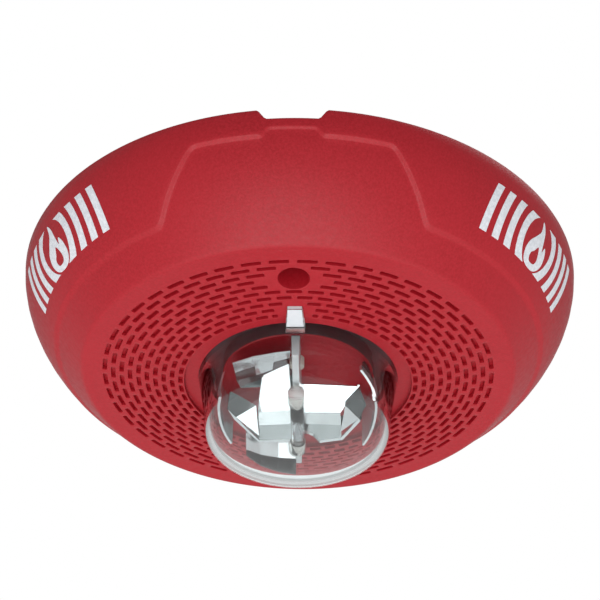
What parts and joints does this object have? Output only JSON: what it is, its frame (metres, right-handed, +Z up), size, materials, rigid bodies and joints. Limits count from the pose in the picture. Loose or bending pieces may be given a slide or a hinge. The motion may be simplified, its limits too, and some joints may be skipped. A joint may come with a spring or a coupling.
{
  "type": "ceiling horn strobe",
  "caption": "Round red ceiling horn strobe: slotted sounder face, clear strobe lens, hinged head on a mounting plate",
  "frame": {"origin": "centre of the mounting plate's ceiling face", "axes": "+Z up into the ceiling, lens towards -Z; -Y is the side of the lock screw and the setting window; the head hinges about a line along X at +Y"},
  "size_m": [0.1728, 0.1724, 0.062],
  "materials": {
    "housing": "red, fine moulded grain",
    "lens": "clear polycarbonate, polished",
    "reflector": "vacuum metallised plastic",
    "tube_glass": "clear glass",
    "tube_metal": "nickel plated",
    "grommet": "ivory silicone",
    "plate": "off-white moulding",
    "block": "dark grey moulding",
    "brass": "plain brass",
    "screw_steel": "zinc plated",
    "spring_steel": "spring steel",
    "coil": "varnished winding",
    "board": "green solder mask",
    "sleeve": "shrink sleeve, near black",
    "ferrite": "wound ferrite",
    "chip": "moulded black epoxy",
    "piezo": "white ceramic disc",
    "screen": "black acoustic cloth",
    "cover": "dark grey moulding",
    "knob": "white"
  },
  "bodies": {
    "plate": {"mounting_plate": "plate", "lock_insert": "brass", "terminal_block": "block", "terminal_screws": "screw_steel", "terminal_clamps": "brass", "terminal_clips": "brass", "shorting_spring": "spring_steel"},
    "head": {"housing": "housing", "lens": "lens", "reflector": "reflector", "flash_tube": "tube_glass", "tube_caps": "tube_metal", "tube_grommets": "grommet", "trigger_coil": "coil", "circuit_board": "board", "flash_capacitor": "sleeve", "filter_capacitors": "sleeve", "boost_inductor": "ferrite", "control_chips": "chip", "sounder_chamber": "block", "sounder_cap": "block", "piezo_plate": "brass", "piezo_ceramic": "piezo", "sounder_contacts": "brass", "dust_screen": "screen", "rear_cover": "cover", "cover_screws": "screw_steel", "blade_header": "block", "contact_blades": "brass", "board_screws": "screw_steel", "candela_switch": "block", "tone_switch": "block"},
    "candela_slider": {"candela_slider": "knob"},
    "tone_rotor": {"tone_rotor": "knob"},
    "lock_collar": {"screw_retainer": "knob"},
    "lock_screw": {"lock_screw": "screw_steel"}
  },
  "joints": [
    {"name": "head_hinge", "type": "hinge", "parent": "plate", "child": "head", "pos_m": [0, 0.0806, -0.005], "axis": [1, 0, 0], "range_deg": [0, 17]},
    {"name": "lock_travel", "type": "slide", "parent": "head", "child": "lock_collar", "axis": [0, 0, -1], "range_m": [0, 0.006]},
    {"name": "lock_turn", "type": "hinge", "parent": "lock_collar", "child": "lock_screw", "pos_m": [0, -0.052, -0.015], "axis": [0, 0, -1], "range_deg": [0, 2700.5]},
    {"name": "candela_slide", "type": "slide", "parent": "head", "child": "candela_slider", "axis": [1, 0, 0], "range_m": [-0.0045, 0.0045]},
    {"name": "tone_turn", "type": "hinge", "parent": "head", "child": "tone_rotor", "pos_m": [0.034, -0.032, -0.013], "axis": [0, 0, 1], "range_deg": [-135, 135]}
  ],
  "couplings": [
    {"joint": "lock_turn", "follows": "lock_travel", "rad_per_m": 7854}
  ]
}
